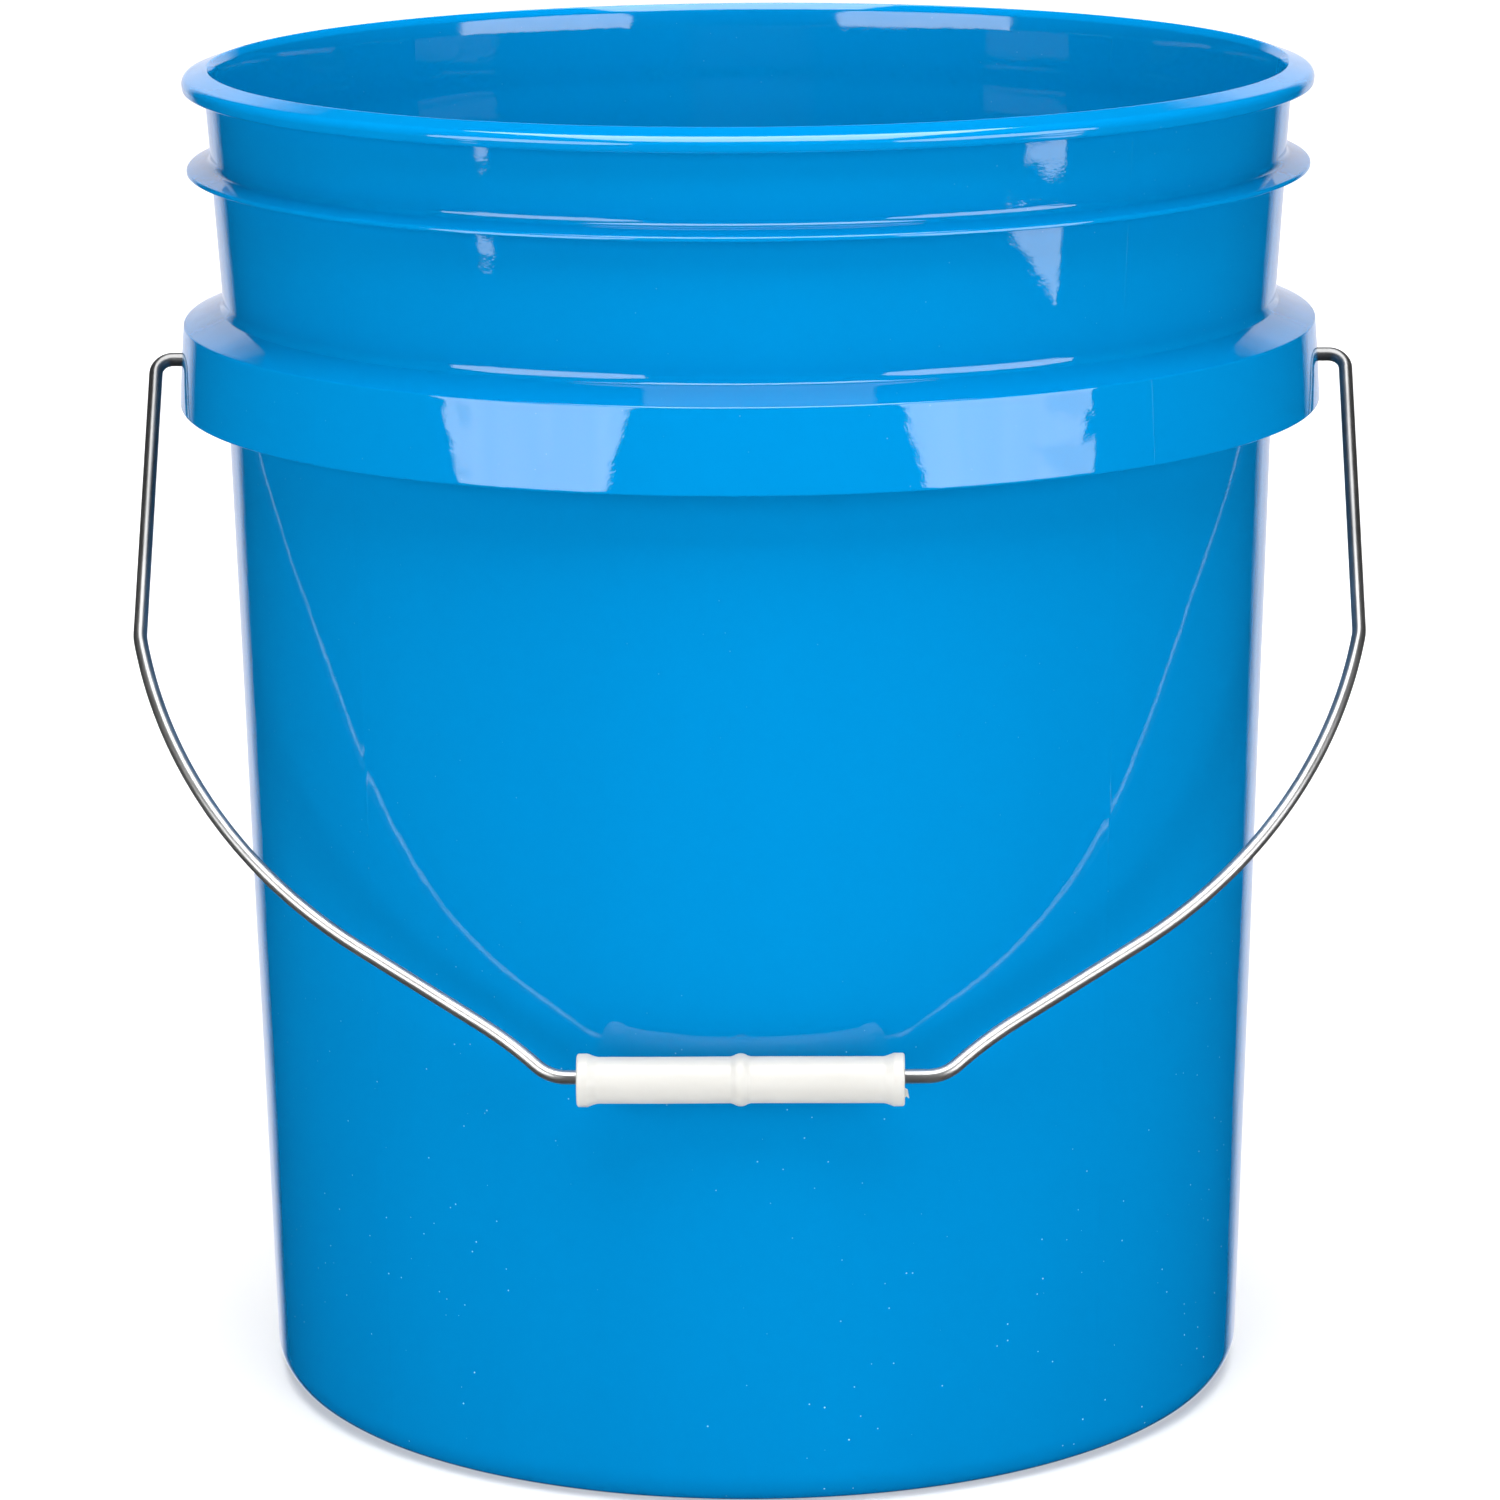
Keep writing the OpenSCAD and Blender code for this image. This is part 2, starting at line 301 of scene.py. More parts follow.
def root_runs():
    """The crease on the ledge, and the hollow round from there up to the neck."""
    end = math.radians(ROOT_END)
    root_x = neck_r(LEDGE_Z + ROOT_UP) + ROOT_R
    root_z = LEDGE_Z + ROOT_R * math.sin(end)
    crease_x = root_x - ROOT_R * math.cos(end) + CREASE_R * math.cos(end)
    crease_z = LEDGE_Z + CREASE_R * math.sin(end)
    return [
        arc(crease_x, crease_z, CREASE_R, 270 - LEDGE_FALL, 180 + ROOT_END, 4),
        arc(root_x, root_z, ROOT_R, 180 + ROOT_END, 180 - NECK_LEAN_DEG + ROOT_EASE, 8)[1:],
    ]


def collar_runs():
    fillet_z = COLLAR_Z + COLLAR_ROOT
    under, low, top = COLLAR_UNDER_ROUND, COLLAR_LOW_ROUND, COLLAR_TOP_ROUND
    return [
        arc(neck_r(COLLAR_Z) + under, COLLAR_Z - under, under, 176, 90, 4),
        arc(COLLAR_R - low, COLLAR_Z + low, low, -90, 0, 4),
        arc(COLLAR_R - top, COLLAR_Z + COLLAR_TOP_UP, top, 8, 80, 5),
        arc(neck_r(fillet_z) + COLLAR_FILLET, fillet_z + COLLAR_FILLET_UP, COLLAR_FILLET, 262, 178, 6),
    ]


def rim_runs():
    crest_r = neck_r(PAIL_H) - WALL_T + MOUTH_FLARE
    return [
        arc(neck_r(RIM_Z) + RIM_UNDER_ROUND, RIM_Z, RIM_UNDER_ROUND, 175, 90, 3),
        arc(RIM_R - RIM_LOW_IN, RIM_Z + RIM_LOW_ROUND, RIM_LOW_ROUND, -90, -8, 4),
        arc(RIM_R - RIM_TOP_ROUND, RIM_Z + RIM_TOP_UP, RIM_TOP_ROUND, 0, 72, 9),
        arc(crest_r + CREST_ROUND, PAIL_H - CREST_ROUND, CREST_ROUND, 78, 150, 5),
    ]


def sink(z):
    """The shallow ring that the collar's shrinking leaves inside the neck."""
    return SINK * math.exp(-((z - SINK_Z) / SINK_W) ** 2)


def inside_runs():
    """Down the bell of the mouth, the neck with its sink ring and the wall, to the floor's middle."""
    inner_t = WALL_T / math.cos(WALL_LEAN)
    floor_z = FOOT_H + WALL_T
    corner_z = floor_z + INNER_CORNER_R
    corner_x = wall_r(corner_z) - inner_t - INNER_CORNER_R
    bell_z = PAIL_H - MOUTH_LEAD - BELL_R * math.sin(NECK_LEAN)
    bell_x = neck_r(PAIL_H - MOUTH_LEAD) - WALL_T + BELL_R * math.cos(NECK_LEAN)
    return [
        arc(bell_x, bell_z, BELL_R, 180 - BELL_TURN, 180 - NECK_LEAN_DEG, 8),
        [(neck_r(z) - WALL_T + sink(z), z) for z in range(SINK_TOP, SINK_FOOT, -1)],
        [(wall_r(LEDGE_Z) - inner_t, LEDGE_Z)],
        arc(corner_x, corner_z, INNER_CORNER_R, -2, -90, 12),
        [(0, floor_z)],
    ]


def pail_outline():
    """Half of the pail's section, from the axis under the floor round to the axis above it."""
    return joined(foot_runs() + skirt_runs() + root_runs() + collar_runs() + rim_runs() + inside_runs(), STEP)


# ---------------------------------------------------------------- mesh helpers
def new_object(name, verts, faces):
    mesh = bpy.data.meshes.new(name)
    mesh.from_pydata(verts, [], faces)
    mesh.validate()
    obj = bpy.data.objects.new(name, mesh)
    bpy.context.scene.collection.objects.link(obj)
    return obj


def quads(rows, count, closed=False):
    """Faces between rings of vertices; closed also joins the last ring to the first."""
    faces = []
    for i in range(rows if closed else rows - 1):
        j = (i + 1) % rows
        for k in range(count):
            n = (k + 1) % count
            faces.append((i * count + k, i * count + n, j * count + n, j * count + k))
    return faces


def turned(name, outline, angles, place):
    """A solid of revolution. The outline starts and ends on the axis; place maps (r, z, angle) to a point."""
    inner = outline[1:-1]
    rows, count = len(inner), len(angles)
    verts = [place(r, z, a) for r, z in inner for a in angles]
    faces = quads(rows, count)
    first, last = len(verts), len(verts) + 1
    verts += [place(*outline[0], 0.0), place(*outline[-1], 0.0)]
    for k in range(count):
        n = (k + 1) % count
        faces.append((first, n, k))
        faces.append((last, (rows - 1) * count + k, (rows - 1) * count + n))
    return new_object(name, verts, faces)


def prism(name, verts):
    """A solid between two like outlines, listed one after the other."""
    n = len(verts) // 2
    faces = [tuple(range(n)), tuple(range(2 * n - 1, n - 1, -1))]
    faces += [(k, (k + 1) % n, (k + 1) % n + n, k + n) for k in range(n)]
    obj = new_object(name, verts, faces)
    outward(obj)
    return obj


def outward(obj):
    """Turns every face of a closed mesh outwards."""
    bm = bmesh.new()
    bm.from_mesh(obj.data)
    bmesh.ops.recalc_face_normals(bm, faces=bm.faces)
    if bm.calc_volume(signed=True) < 0:
        bmesh.ops.reverse_faces(bm, faces=bm.faces)
    bm.to_mesh(obj.data)
    bm.free()


def combine(obj, others, operation):
    """Applies a boolean of each other closed mesh to obj, and removes the others."""
    for other in others:
        mod = obj.modifiers.new("cut", "BOOLEAN")
        mod.operation = operation
        mod.solver = "MANIFOLD"
        mod.object = other
    bpy.context.view_layer.update()
    done = bpy.data.meshes.new_from_object(obj.evaluated_get(bpy.context.evaluated_depsgraph_get()))
    obj.modifiers.clear()
    obj.data = done
    for other in others:
        bpy.data.objects.remove(other)


def smooth(obj, degrees=35):
    """Smooth shading with crisp edges where two faces meet at more than the given angle."""
    mesh = obj.data
    mesh.polygons.foreach_set("use_smooth", [True] * len(mesh.polygons))
    bm = bmesh.new()
    bm.from_mesh(mesh)
    for edge in bm.edges:
        edge.smooth = len(edge.link_faces) != 2 or edge.calc_face_angle(0) < math.radians(degrees)
    bm.to_mesh(mesh)
    bm.free()
    weighted = obj.modifiers.new("even_normals", "WEIGHTED_NORMAL")
    weighted.keep_sharp = True
    weighted.mode = "FACE_AREA_WITH_ANGLE"


def evenly(count, extra=()):
    """Angles all the way round, with a few narrow ones added."""
    return sorted([FULL * i / count for i in range(count)] + [a % FULL for a in extra])


# ---------------------------------------------------------------- the pail
def ripple(angle, z):
    return sum(h * math.sin(waves * angle + z / pitch + phase) for h, waves, pitch, phase in RIPPLES)


def bow(z):
    """The skirt's face bulges a little between its two edges."""
    t = (z - SKIRT_Z) / (SKIRT_TOP - SKIRT_Z)
    return BOW * 4 * t * (1 - t) if 0 < t < 1 else 0.0


def uneven_radius(r, z, a, ridge):
    """The outline's radius with the moulding's unevenness and its parting lines."""
    calm = min(1.0, max(0.0, (r - CALM_R) / CALM_R))
    outside = r > wall_r(z) - SKIN and CORNER_R < z < RIM_Z
    uneven = r + ripple(a, z) * calm
    if outside and r > COLLAR_R and z < LEDGE_Z:
        uneven += bow(z)
    if outside and a in ridge:
        uneven += PARTING_H
    return uneven


def build_pail():
    w = PARTING_TURN
    ridge = {a for p in PARTING for a in (p - w / 3, p + w / 3)}
    angles = evenly(TURNS, [a for p in PARTING for a in (p - w, p - w / 3, p + w / 3, p + w)])

    def place(r, z, a):
        r2 = uneven_radius(r, z, a, ridge)
        return (r2 * MM * math.cos(a), r2 * MM * math.sin(a), z * MM)

    shell = turned("pail_body", pail_outline(), angles, place)
    outward(shell)
    ribs = [rib(i) for i in range(RIB_COUNT)]
    bosses = [round_bar(side, BOSS_R, EAR_IN, EAR_IN + BOSS_IN + BOSS_BITE) for side in (1, -1)]
    combine(shell, ribs + bosses, "UNION")
    hole_r = WIRE_R + HOLE_PLAY
    holes = [round_bar(side, hole_r, EAR_IN - DRILL_IN, SKIRT_R + DRILL_OUT) for side in (1, -1)]
    combine(shell, holes, "DIFFERENCE")
    smooth(shell)
    return shell


def rib(i):
    """A thin radial web between the wall and the skirt."""
    turn = FULL * (i + 0.5) / RIB_COUNT
    c, s = math.cos(turn), math.sin(turn)
    foot = SKIRT_Z + RIB_UP
    under = LEDGE_Z - RIB_DROP
    outline = [
        (wall_r(foot) - BITE, foot),
        (SKIRT_R - SKIRT_T + BITE, foot),
        (SKIRT_TOP_R - SKIRT_T + BITE, SKIRT_TOP - SKIRT_T + BITE),
        (wall_r(under) - BITE, under + BITE),
    ]
    verts = []
    for y in (-RIB_T / 2 * MM, RIB_T / 2 * MM):
        verts += [(r * MM * c - y * s, r * MM * s + y * c, z * MM) for r, z in outline]
    return prism("rib", verts)


def round_bar(side, radius, x0, x1, steps=64):
    """A bar along X at the height of the hinge, for a boss or a hole."""
    verts = []
    for x in (x0, x1):
        for k in range(steps):
            a = FULL * k / steps
            verts.append((side * x * MM, radius * MM * math.cos(a), (HINGE_Z + radius * math.sin(a)) * MM))
    return prism("bar", verts)


# ---------------------------------------------------------------- the bail
def bail_line():
    """The wire's centre line from the tip of one hook to the other, (x, z) in the bail's own plane."""
    kink_deg, slant_deg, dip_deg = math.degrees(KINK_TURN), math.degrees(SLANT), math.degrees(DIP)
    kink = (LEG_X - KINK_R, -LEG_L)
    kink_end = (kink[0] + KINK_R * math.cos(KINK_TURN), kink[1] - KINK_R * math.sin(KINK_TURN))
    sweep = (kink_end[0] - SWEEP_R * math.cos(KINK_TURN), kink_end[1] + SWEEP_R * math.sin(KINK_TURN))
    sweep_end = (sweep[0] + SWEEP_R * math.sin(SLANT), sweep[1] - SWEEP_R * math.cos(SLANT))
    dip_z = -BAIL_L + GRIP_BEND * (1 - math.cos(DIP)) + DIP_R * (math.cos(SLANT) - math.cos(DIP))
    fall = (sweep_end[1] - dip_z) / math.sin(SLANT)
    slant_end = (sweep_end[0] - fall * math.cos(SLANT), dip_z)
    dip = (slant_end[0] + DIP_R * math.sin(SLANT), slant_end[1] - DIP_R * math.cos(SLANT))
    dip_end = (dip[0] - DIP_R * math.sin(DIP), dip[1] + DIP_R * math.cos(DIP))
    turn = (dip_end[0] - GRIP_BEND * math.sin(DIP), dip_end[1] + GRIP_BEND * math.cos(DIP))
    runs = [
        [(HOOK_X, HOOK_L)],
        arc(HOOK_X + HOOK_BEND, HOOK_BEND, HOOK_BEND, 180, 270, 10),
        arc(LEG_X - LEG_BEND, -LEG_BEND, LEG_BEND, 90, 0, 12),
        arc(*kink, KINK_R, 0, -kink_deg, 5),
        arc(*sweep, SWEEP_R, -kink_deg - SWEEP_LEAD, slant_deg - 90, 34),
        arc(*dip, DIP_R, slant_deg + 90, dip_deg + 90, 7),
        arc(*turn, GRIP_BEND, dip_deg - 90, -90, 10)[1:],
    ]
    half = joined(runs, WIRE_STEP)
    return half + [(-x, z) for x, z in reversed(half)]


def build_bail():
    path = bail_line()
    n = len(path)
    turns = [FULL * k / WIRE_SIDES for k in range(WIRE_SIDES)]
    hang = Matrix.Translation((0, 0, HINGE_Z * MM)) @ Matrix.Rotation(-HANG, 4, "X")
    verts, run, travelled = [], [], 0.0
    for i, (x, z) in enumerate(path):
        a, b = path[max(i - 1, 0)], path[min(i + 1, n - 1)]
        t = Vector((b[0] - a[0], b[1] - a[1])).normalized()
        if i:
            travelled += math.dist(path[i - 1], path[i])
        r = WIRE_R * (TIP_SHRINK if i in (0, n - 1) else 1.0)
        for g in turns:
            p = Vector((x - t.y * r * math.cos(g), r * math.sin(g), z + t.x * r * math.cos(g)))
            verts.append(hang @ (p * MM))
            run.append((travelled * MM, math.cos(g) * WIRE_R * MM, math.sin(g) * WIRE_R * MM))
    ends = [tuple(range(WIRE_SIDES)), tuple(range(n * WIRE_SIDES - 1, (n - 1) * WIRE_SIDES - 1, -1))]
    wire = new_object("bail_wire", verts, ends + quads(n, WIRE_SIDES))
    along = wire.data.attributes.new("along", "FLOAT_VECTOR", "POINT")
    for k, at in enumerate(run):
        along.data[k].vector = at
    outward(wire)
    smooth(wire, WIRE_EDGE)
    return wire


# ---------------------------------------------------------------- the grip
def grip_outline():
    """The grip's section, from the bore's middle round one end and back by the other: (radius, run)."""
    end = GRIP_L / 2
    half = joined([
        [(BORE_D / 2, MIDDLE)],
        arc(BORE_D / 2 + BORE_ROUND, end - BORE_ROUND, BORE_ROUND, 180, 90, 3),
        arc(FLARE_D / 2 - GRIP_ROUND, end - GRIP_ROUND, GRIP_ROUND, 90, 0, 6),
        arc(FLARE_D / 2 - FLARE_ROUND, end - FLARE_L, FLARE_ROUND, 0, -18, 3),
        arc(GRIP_D / 2 + TAPER_ROUND, end - FLARE_L - TAPER_L, TAPER_ROUND, 160, 180, 4),
        arc(GRIP_D / 2 + BEAD_ROUND, BEAD_L / 2 + BEAD_ROUND_OUT, BEAD_ROUND, 180, 215, 3),
        arc(BEAD_D / 2 - BEAD_R, 0.0, BEAD_R, 36, 3, 6),
    ], GRIP_STEP)
    return half + [(r, -s) for r, s in reversed(half)]


def gate_flake(centre):
    """The sliver that the mould's gate left hanging from the grip's right end."""
    end = GRIP_L / 2
    verts = [centre + Vector((end + x, y, z)) * MM for y in (FLAKE_FRONT, FLAKE_BACK) for x, z in FLAKE]
    return prism("flake", verts)


def build_grip():
    centre = Vector(spin["pos_m"])
    outline = grip_outline()
    beside = [side * o for o in SEAM_STEPS for side in (1, -1)]
    angles = evenly(GRIP_SIDES, [a + o for a in (0.0, math.pi) for o in beside])

    def place(r, s, a):
        seam = SEAM_H * math.exp(-((math.sin(a) * r) / SEAM_W) ** 2)
        warp = WARP_H * math.sin(WARP_WAVES * a + s / WARP_PITCH)
        rr = (r + seam + warp if r > SHELL_R else r) * MM
        return (centre.x + s * MM, centre.y + rr * math.sin(a), centre.z + rr * math.cos(a))

    verts = [place(r, s, a) for r, s in outline for a in angles]
    tube = new_object("grip_tube", verts, quads(len(outline), len(angles), closed=True))
    outward(tube)
    combine(tube, [gate_flake(centre)], "UNION")
    smooth(tube, GRIP_EDGE)
    return tube


# ---------------------------------------------------------------- node trees
class Graph:
    """A node tree, with a short way to add each kind of node used here."""

    def __init__(self, tree):
        self.nodes = tree.nodes
        self.links = tree.links

    def feed(self, socket, value):
        """Links an output to a socket, or sets the socket to a constant."""
        if isinstance(value, bpy.types.NodeSocket):
            self.links.new(value, socket)
        else:
            socket.default_value = value

    def coords(self, kind="Object"):
        return self.nodes.new("ShaderNodeTexCoord").outputs[kind]

    def noise(self, at, scale, detail, stretch=(1, 1, 1)):
        """A noise texture over the object, its detail stretched along an axis."""
        mapping = self.nodes.new("ShaderNodeMapping")
        self.feed(mapping.inputs["Scale"], stretch)
        self.feed(mapping.inputs["Vector"], at)
        tex = self.nodes.new("ShaderNodeTexNoise")
        self.feed(tex.inputs["Scale"], scale)
        self.feed(tex.inputs["Detail"], detail)
        self.feed(tex.inputs["Vector"], mapping.outputs["Vector"])
        return tex.outputs["Fac"]

    def ramp(self, source, stops):
        """A colour ramp: [(position, (r, g, b, a)), ...]."""
        node = self.nodes.new("ShaderNodeValToRGB")
        elements = node.color_ramp.elements
        while len(elements) < len(stops):
            elements.new(0.5)
        for element, (at, colour) in zip(elements, stops):
            element.position = at
            element.color = colour
        self.feed(node.inputs["Fac"], source)
        return node.outputs["Color"]

    def between(self, source, start=0.0, end=1.0, low=0.0, high=1.0):
        """Maps start..end to low..high, flat outside."""
        node = self.nodes.new("ShaderNodeMapRange")
        for name, value in (("From Min", start), ("From Max", end), ("To Min", low), ("To Max", high)):
            self.feed(node.inputs[name], value)
        self.feed(node.inputs["Value"], source)
        return node.outputs["Result"]

    def calc(self, operation, *values):
        node = self.nodes.new("ShaderNodeMath")
        node.operation = operation
        for socket, value in zip(node.inputs, values):
            self.feed(socket, value)
        return node.outputs["Value"]

    def vector(self, operation, output, *values):
        node = self.nodes.new("ShaderNodeVectorMath")
        node.operation = operation
        for socket, value in zip(node.inputs, values):
            self.feed(socket, value)
        return node.outputs[output]

    def part(self, at, axis):
        """One axis of a vector."""
        node = self.nodes.new("ShaderNodeSeparateXYZ")
        self.feed(node.inputs["Vector"], at)
        return node.outputs[axis]

    def mixed(self, factor, first, second):
        """Two colours mixed. The node keeps its colour sockets after those for numbers and vectors."""
        node = self.nodes.new("ShaderNodeMix")
        node.data_type = "RGBA"
        self.feed(node.inputs[0], factor)
        self.feed(node.inputs[6], first)
        self.feed(node.inputs[7], second)
        return node.outputs[2]

    def bump(self, height, strength, distance, after=None):
        node = self.nodes.new("ShaderNodeBump")
        self.feed(node.inputs["Strength"], strength)
        self.feed(node.inputs["Distance"], distance)
        self.feed(node.inputs["Height"], height)
        if after is not None:
            self.feed(node.inputs["Normal"], after)
        return node.outputs["Normal"]


def material(name, shader):
    """A new material with one shader: the material, its graph and the shader's inputs."""
    mat = bpy.data.materials.new(name)
    mat.use_nodes = True
    graph = Graph(mat.node_tree)
    graph.nodes.clear()
    out = graph.nodes.new("ShaderNodeOutputMaterial")
    node = graph.nodes.new(shader)
    graph.feed(out.inputs["Surface"], node.outputs[0])
    return mat, graph, node.inputs


# ---------------------------------------------------------------- materials
def faces_axis(graph, at):
    """1 on the inside of the pail, where the surface faces the axis, 0 outside: the mask for the painted
    light inside.
    """
    flat = graph.vector("MULTIPLY", "Vector", at, (1, 1, 0))
    dot = graph.vector("DOT_PRODUCT", "Value", flat, graph.coords("Normal"))
    return graph.between(dot, start=-0.06, end=-0.02, low=1.0, high=0.0)


def dust(graph, at):
    """Sparse light specks, most of them near the base."""
    cells = graph.nodes.new("ShaderNodeTexVoronoi")
    graph.feed(cells.inputs["Scale"], 240.0)
    graph.feed(cells.inputs["Vector"], at)
    dots = graph.between(cells.outputs["Distance"], start=0.030, end=0.062, low=1.0, high=0.0)
    patches = graph.between(graph.noise(at, scale=14.0, detail=2.0), start=0.44, end=0.54)
    low = graph.between(graph.part(at, "Z"), start=0.02, end=0.16, low=1.0, high=0.12)
    return graph.calc("MULTIPLY", graph.calc("MULTIPLY", dots, patches), low)


def blue_plastic():
    """Glossy plastic, faintly streaked and rippled, a little duller on the rim, with painted light inside: a
    lighter copy of the blue there.
    """
    mat, graph, surface = material("pail_blue_plastic", "ShaderNodeBsdfPrincipled")
    at = graph.coords()
    cloud = graph.noise(at, scale=16.0, detail=5.0, stretch=(1, 1, 0.12))
    # Painted light: the inside gets the lighter blue, standing in for light inside the pail.
    tint_and_painted_inside_light = graph.mixed(faces_axis(graph, at), graph.ramp(cloud, BLUE), graph.ramp(cloud, BLUE_INSIDE_PAINTED_LIGHT))
    graph.feed(surface["Base Color"], graph.mixed(dust(graph, at), tint_and_painted_inside_light, DUST))
    haze = graph.noise(at, scale=30.0, detail=5.0, stretch=(1, 1, 0.3))
    polish = graph.between(haze, low=0.008, high=0.03)
    scuffed = graph.between(graph.part(at, "Z"), start=RIM_Z * MM, end=(RIM_Z + 1) * MM, high=0.03)
    graph.feed(surface["Roughness"], graph.calc("ADD", polish, scuffed))
    peel = graph.bump(graph.noise(at, scale=90.0, detail=2.0), strength=0.06, distance=0.001)
    grain = graph.noise(at, scale=1500.0, detail=1.0)
    graph.feed(surface["Normal"], graph.bump(grain, strength=0.02, distance=0.0003, after=peel))
    graph.feed(surface["IOR"], 1.5)
    return mat


def zinc_wire():
    """Drawn galvanised wire: fine streaks along it, blotches, and painted shade on the legs, darker higher
    up.
    """
    mat, graph, surface = material("bail_zinc_wire", "ShaderNodeBsdfPrincipled")
    attribute = graph.nodes.new("ShaderNodeAttribute")
    attribute.attribute_name = "along"
    at = attribute.outputs["Vector"]
    streak = graph.noise(at, scale=900.0, detail=3.0, stretch=(0.02, 1, 1))
    blotch = graph.noise(at, scale=120.0, detail=4.0, stretch=(0.5, 1, 1))
    # Painted shade: the wire's colour is darkened higher up, on the legs, standing in for shade there.
    painted_leg_shade = graph.between(graph.part(graph.coords(), "Z"), start=0.17, end=0.24, low=1.0, high=0.42)
    tone = graph.vector("MULTIPLY", "Vector", graph.ramp(blotch, ZINC), painted_leg_shade)
    graph.feed(surface["Base Color"], tone)
    graph.feed(surface["Roughness"], graph.between(streak, low=0.24, high=0.42))
    graph.feed(surface["Metallic"], 0.9)
    graph.feed(surface["Normal"], graph.bump(streak, strength=0.25, distance=0.0002))
    return mat


def white_plastic():
    """Satin, slightly translucent plastic."""
    mat, graph, surface = material("grip_white_plastic", "ShaderNodeBsdfPrincipled")
    at = graph.coords()
    graph.feed(surface["Base Color"], graph.ramp(graph.noise(at, scale=60.0, detail=4.0), WHITE))
    haze = graph.noise(at, scale=200.0, detail=4.0)
    graph.feed(surface["Roughness"], graph.between(haze, low=0.32, high=0.5))
    grain = graph.noise(at, scale=900.0, detail=3.0)
    graph.feed(surface["Normal"], graph.bump(grain, strength=0.08, distance=0.0003))
    graph.feed(surface["Subsurface Weight"], 0.15)
    graph.feed(surface["Subsurface Radius"], (0.004, 0.0035, 0.003))
    return mat


def dress(obj, mat, body, node):
    obj.data.materials.clear()
    obj.data.materials.append(mat)
    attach(obj, body)
    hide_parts(node)


# ---------------------------------------------------------------- the studio
def glow(name, radiance):
    """A lamp's cloth, up to a fifth brighter or darker in soft streaks."""
    mat, graph, surface = material(name, "ShaderNodeEmission")
    streaks = graph.noise(graph.coords(), scale=3.0, detail=3.0, stretch=(3, 3, 0.6))
    graph.feed(surface["Strength"], graph.between(streaks, low=radiance * 0.8, high=radiance * 1.2))
    return mat


def softbox(name, azimuth, elevation, size, radiance, cut):
    """A glowing panel facing the pail, its corners cut off. The azimuth counts from the front."""
    a, e = math.radians(azimuth), math.radians(elevation)
    away = Vector((math.sin(a) * math.cos(e), -math.cos(a) * math.cos(e), math.sin(e)))
    right = Vector((math.cos(a), math.sin(a), 0))
    up = away.cross(right)
    if up.z < 0:
        up.negate()
    w, h = size[0] / 2, size[1] / 2
    corners = [(-w + cut, -h), (w - cut, -h), (w, cut - h), (w, h - cut),
               (w - cut, h), (cut - w, h), (-w, h - cut), (-w, cut - h)]
    verts = [AIM + away * BOX_AWAY + right * u + up * v for u, v in corners]
    panel = new_object(name, verts, [tuple(range(len(verts)))])
    if panel.data.polygons[0].normal.dot(away) > 0:
        panel.data.flip_normals()
    panel.data.materials.append(glow(name, radiance))
    panel.visible_camera = False


def card(name, azimuth, height, corners):
    """A small lit card, seen only as a patch of light on the neck. Height and corners in millimetres."""
    a = math.radians(azimuth)
    middle = Vector((math.sin(a) * CARD_AWAY, -math.cos(a) * CARD_AWAY, height * MM))
    right = Vector((math.cos(a), math.sin(a), 0)) * MM
    verts = [middle + right * u + Vector((0, 0, v * MM)) for u, v in corners]
    panel = new_object(name, verts, [tuple(range(len(verts)))])
    panel.data.materials.append(glow(name, CARD_GLOW))
    panel.visible_camera = False
    panel.visible_diffuse = False
    panel.visible_shadow = False


def build_floor():
    """A white floor that glows a little, more so further out, and leaves no reflection in the pail."""
    s = FLOOR_HALF
    floor = new_object("floor", [(-s, -s, 0), (s, -s, 0), (s, s, 0), (-s, s, 0)], [(0, 1, 2, 3)])
    mat, graph, surface = material("floor_white", "ShaderNodeBsdfPrincipled")
    away = graph.vector("LENGTH", "Value", graph.coords())
    graph.feed(surface["Base Color"], FLOOR)
    graph.feed(surface["Roughness"], 0.8)
    graph.feed(surface["Emission Color"], (1, 1, 1, 1))
    graph.feed(surface["Emission Strength"], graph.between(away, start=0.3, end=2.0, low=0.36, high=1.0))
    floor.data.materials.append(mat)
    floor.visible_glossy = False


def build_backdrop():
    """A plain white wall all round, far off, that only the camera sees."""
    turns = [FULL * k / WALL_SIDES for k in range(WALL_SIDES)]
    verts = [(WALL_AWAY * math.cos(a), WALL_AWAY * math.sin(a), z) for z in (0, WALL_H) for a in turns]
    wall = new_object("backdrop", verts, quads(2, WALL_SIDES))
    mat, graph, surface = material("backdrop_white", "ShaderNodeEmission")
    graph.feed(surface["Strength"], 1.0)
    wall.data.materials.append(mat)
    wall.visible_diffuse = False
    wall.visible_glossy = False
    wall.visible_shadow = False


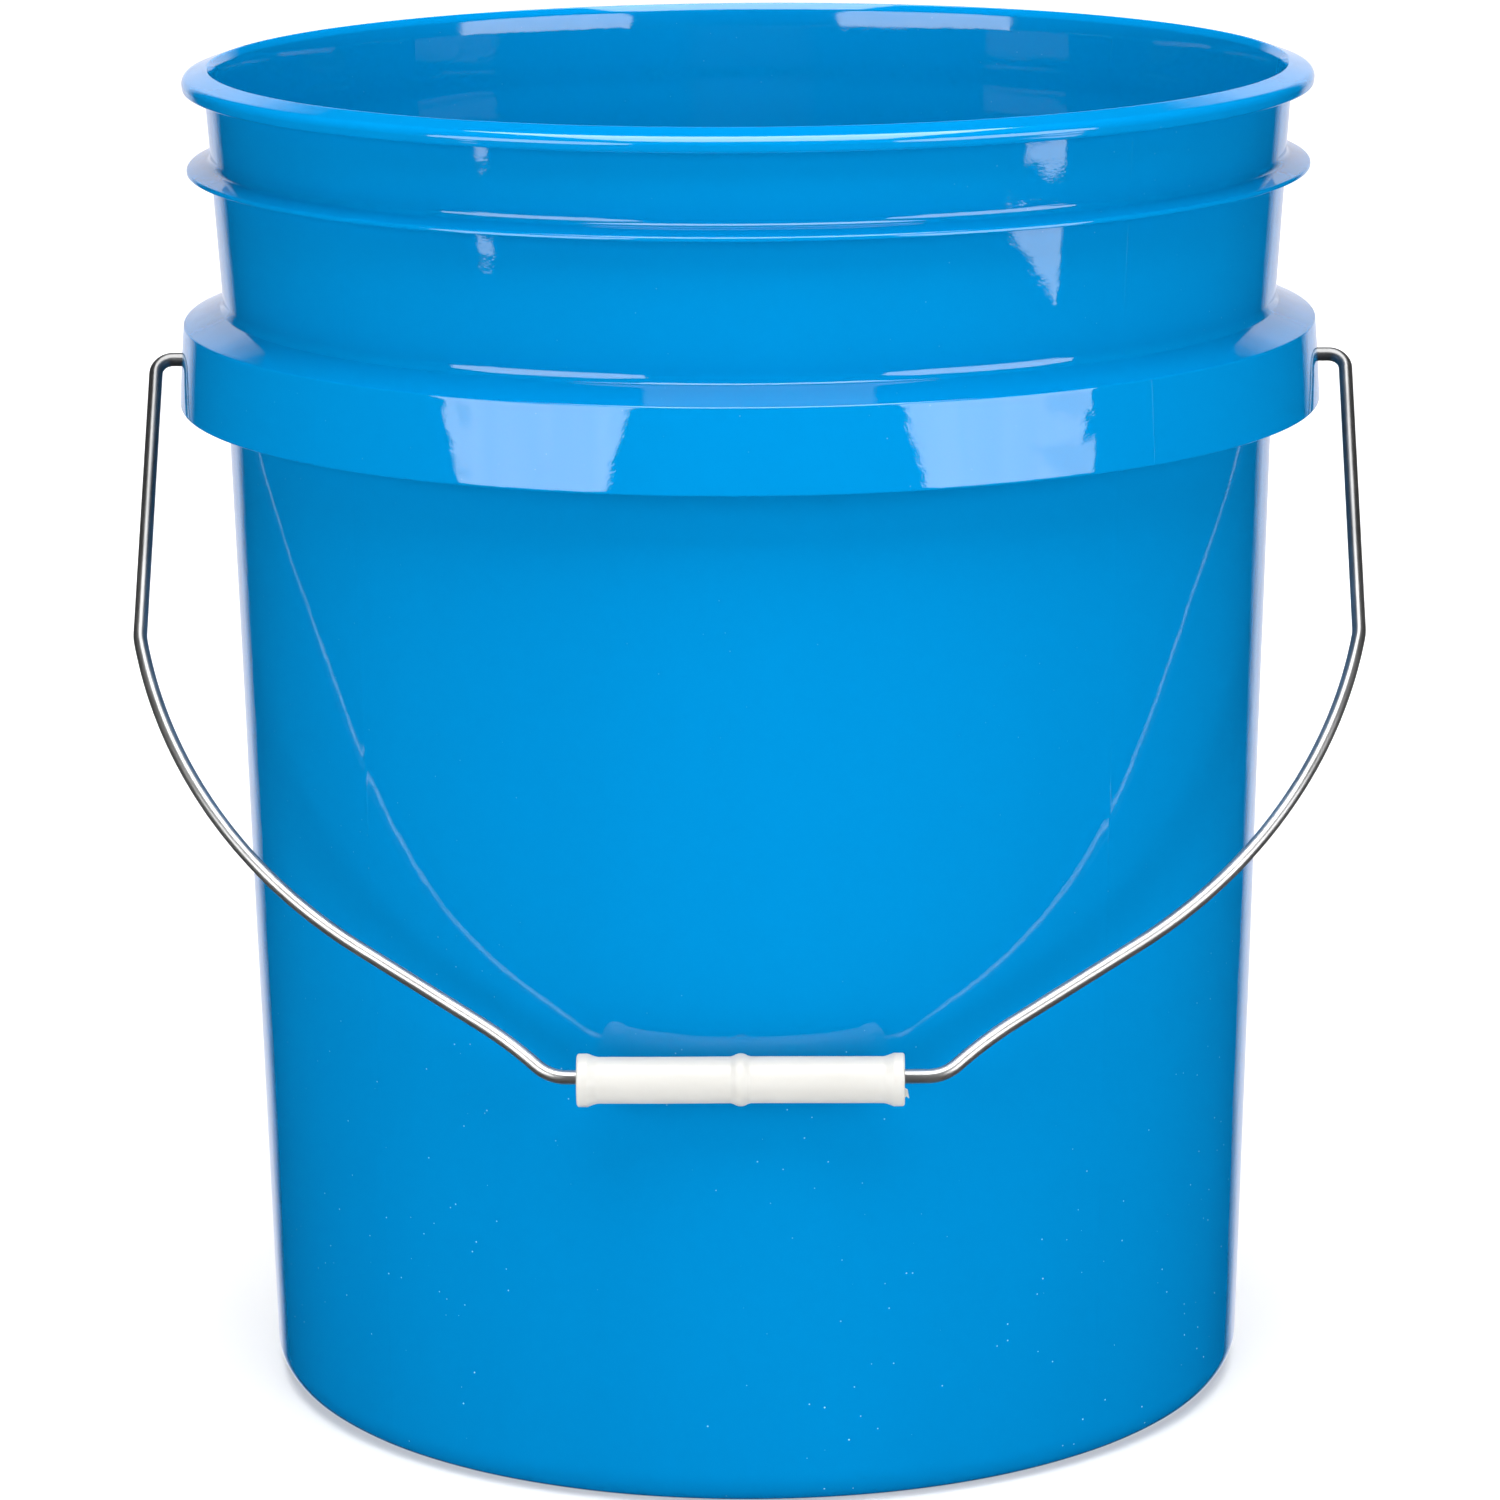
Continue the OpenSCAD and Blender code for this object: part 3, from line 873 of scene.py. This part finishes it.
def build_world():
    """White behind the pail down to a little below it, dark everywhere else."""
    world = bpy.data.worlds.new("studio")
    bpy.context.scene.world = world
    world.use_nodes = True
    graph = Graph(world.node_tree)
    direction = graph.coords("Generated")
    behind = graph.between(graph.part(direction, "Y"), start=0.85, end=0.91)
    above = graph.between(graph.part(direction, "Z"), start=-0.50, end=-0.42, low=DARK)
    background = graph.nodes["Background"].inputs
    graph.feed(background["Color"], SKY)
    graph.feed(background["Strength"], graph.calc("MULTIPLY_ADD", behind, above, DARK))


def build_lights():
    softbox("softbox_left", -41.5, 10.5, SIDE_BOX, SIDE_GLOW, SIDE_CUT)
    softbox("softbox_right", 49.5, 10.2, SIDE_BOX, SIDE_GLOW, SIDE_CUT)
    softbox("softbox_top", 3.5, 80.0, TOP_BOX, TOP_GLOW, TOP_CUT)
    card("card_right_top", 55.0, 256, [(-26, 25), (38, 26), (37, 15), (8, 13), (-36, 20)])
    card("card_right_low", 55.0, 256, [(-62, 2), (39, 1), (31, -26), (23, -20), (-16, -12)])
    card("card_left_top", -47.5, 264, [(-16, 18), (8, 17), (15, 11), (-2, 9)])
    card("card_left_low", -47.5, 264, [(-11, -9), (15, -12), (12, -17), (-8, -16)])


def build_camera():
    """Seen from 1.65 m in front, a little above the rim, looking down on the middle."""
    yaw, pitch, roll = CAMERA_YAW, CAMERA_PITCH, CAMERA_ROLL
    ahead = Vector((math.sin(yaw) * math.cos(pitch), math.cos(yaw) * math.cos(pitch), -math.sin(pitch)))
    right = Vector((math.cos(yaw), -math.sin(yaw), 0))
    up = right.cross(ahead)
    side = right * math.cos(roll) + up * math.sin(roll)
    top = up * math.cos(roll) - right * math.sin(roll)
    data = bpy.data.cameras.new("camera")
    data.sensor_width = SENSOR
    data.lens = LENS
    camera = bpy.data.objects.new("camera", data)
    camera.matrix_world = Matrix.Translation(CAMERA_AT) @ Matrix((side, top, -ahead)).transposed().to_4x4()
    bpy.context.scene.collection.objects.link(camera)
    bpy.context.scene.camera = camera


bpy.context.scene.view_settings.view_transform = "Standard"
dress(build_pail(), blue_plastic(), "pail", "pail")
dress(build_bail(), zinc_wire(), "bail", "bail")
dress(build_grip(), white_plastic(), "grip", "grip")
build_floor()
build_backdrop()
build_world()
build_lights()
build_camera()
